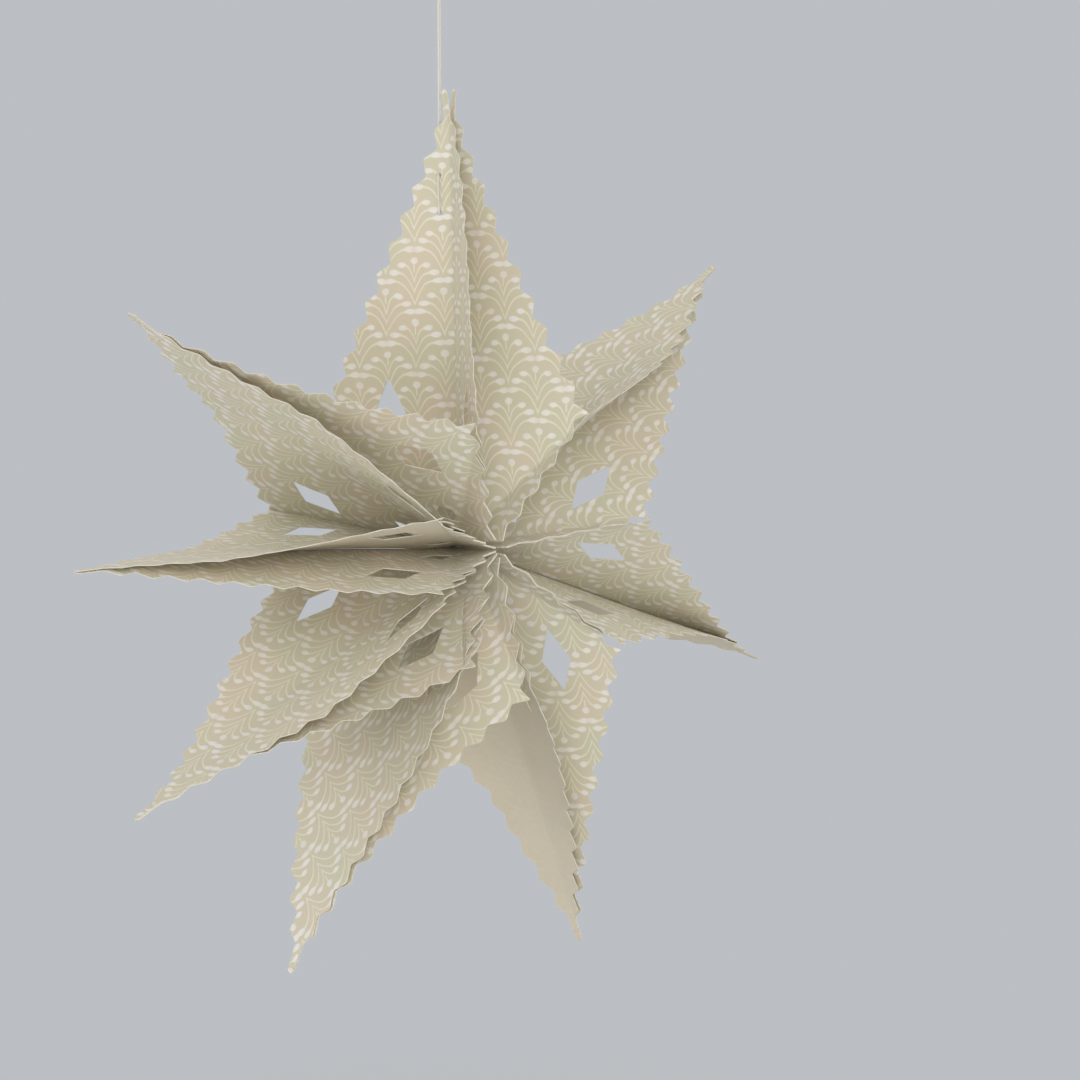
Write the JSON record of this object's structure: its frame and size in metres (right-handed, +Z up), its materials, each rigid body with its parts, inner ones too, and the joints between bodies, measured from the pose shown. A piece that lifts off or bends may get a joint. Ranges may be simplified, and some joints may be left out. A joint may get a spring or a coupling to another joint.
{
  "type": "hanging paper star",
  "caption": "Folded paper star with long toothed points, diamond windows and a soft plume print, hung on a doubled cotton thread.",
  "frame": {"origin": "centre of the knot at the top of the hanging thread, which is what the star hangs from", "axes": "+Z up along the thread; -Y out of the front of the star, so that its points lie in a plane parallel to XZ; +X to the right as seen from the front"},
  "size_m": [0.3665, 0.1126, 0.4169],
  "materials": {
    "printed_paper": "matte",
    "cotton_thread": "matte"
  },
  "bodies": {
    "root": {"point_1_leaf_ccw": "printed_paper", "point_1_leaf_cw": "printed_paper", "point_2_leaf_ccw": "printed_paper", "point_2_leaf_cw": "printed_paper", "point_3_leaf_ccw": "printed_paper", "point_3_leaf_cw": "printed_paper", "point_4_leaf_ccw": "printed_paper", "point_4_leaf_cw": "printed_paper", "point_5_leaf_ccw": "printed_paper", "point_5_leaf_cw": "printed_paper", "point_6_leaf_ccw": "printed_paper", "point_6_leaf_cw": "printed_paper", "point_7_leaf_ccw": "printed_paper", "point_7_leaf_cw": "printed_paper", "point_8_leaf_ccw": "printed_paper", "point_8_leaf_cw": "printed_paper", "thread_upper_strand": "cotton_thread", "thread_lower_strand": "cotton_thread", "thread_knot": "cotton_thread"}
  },
  "joints": []
}
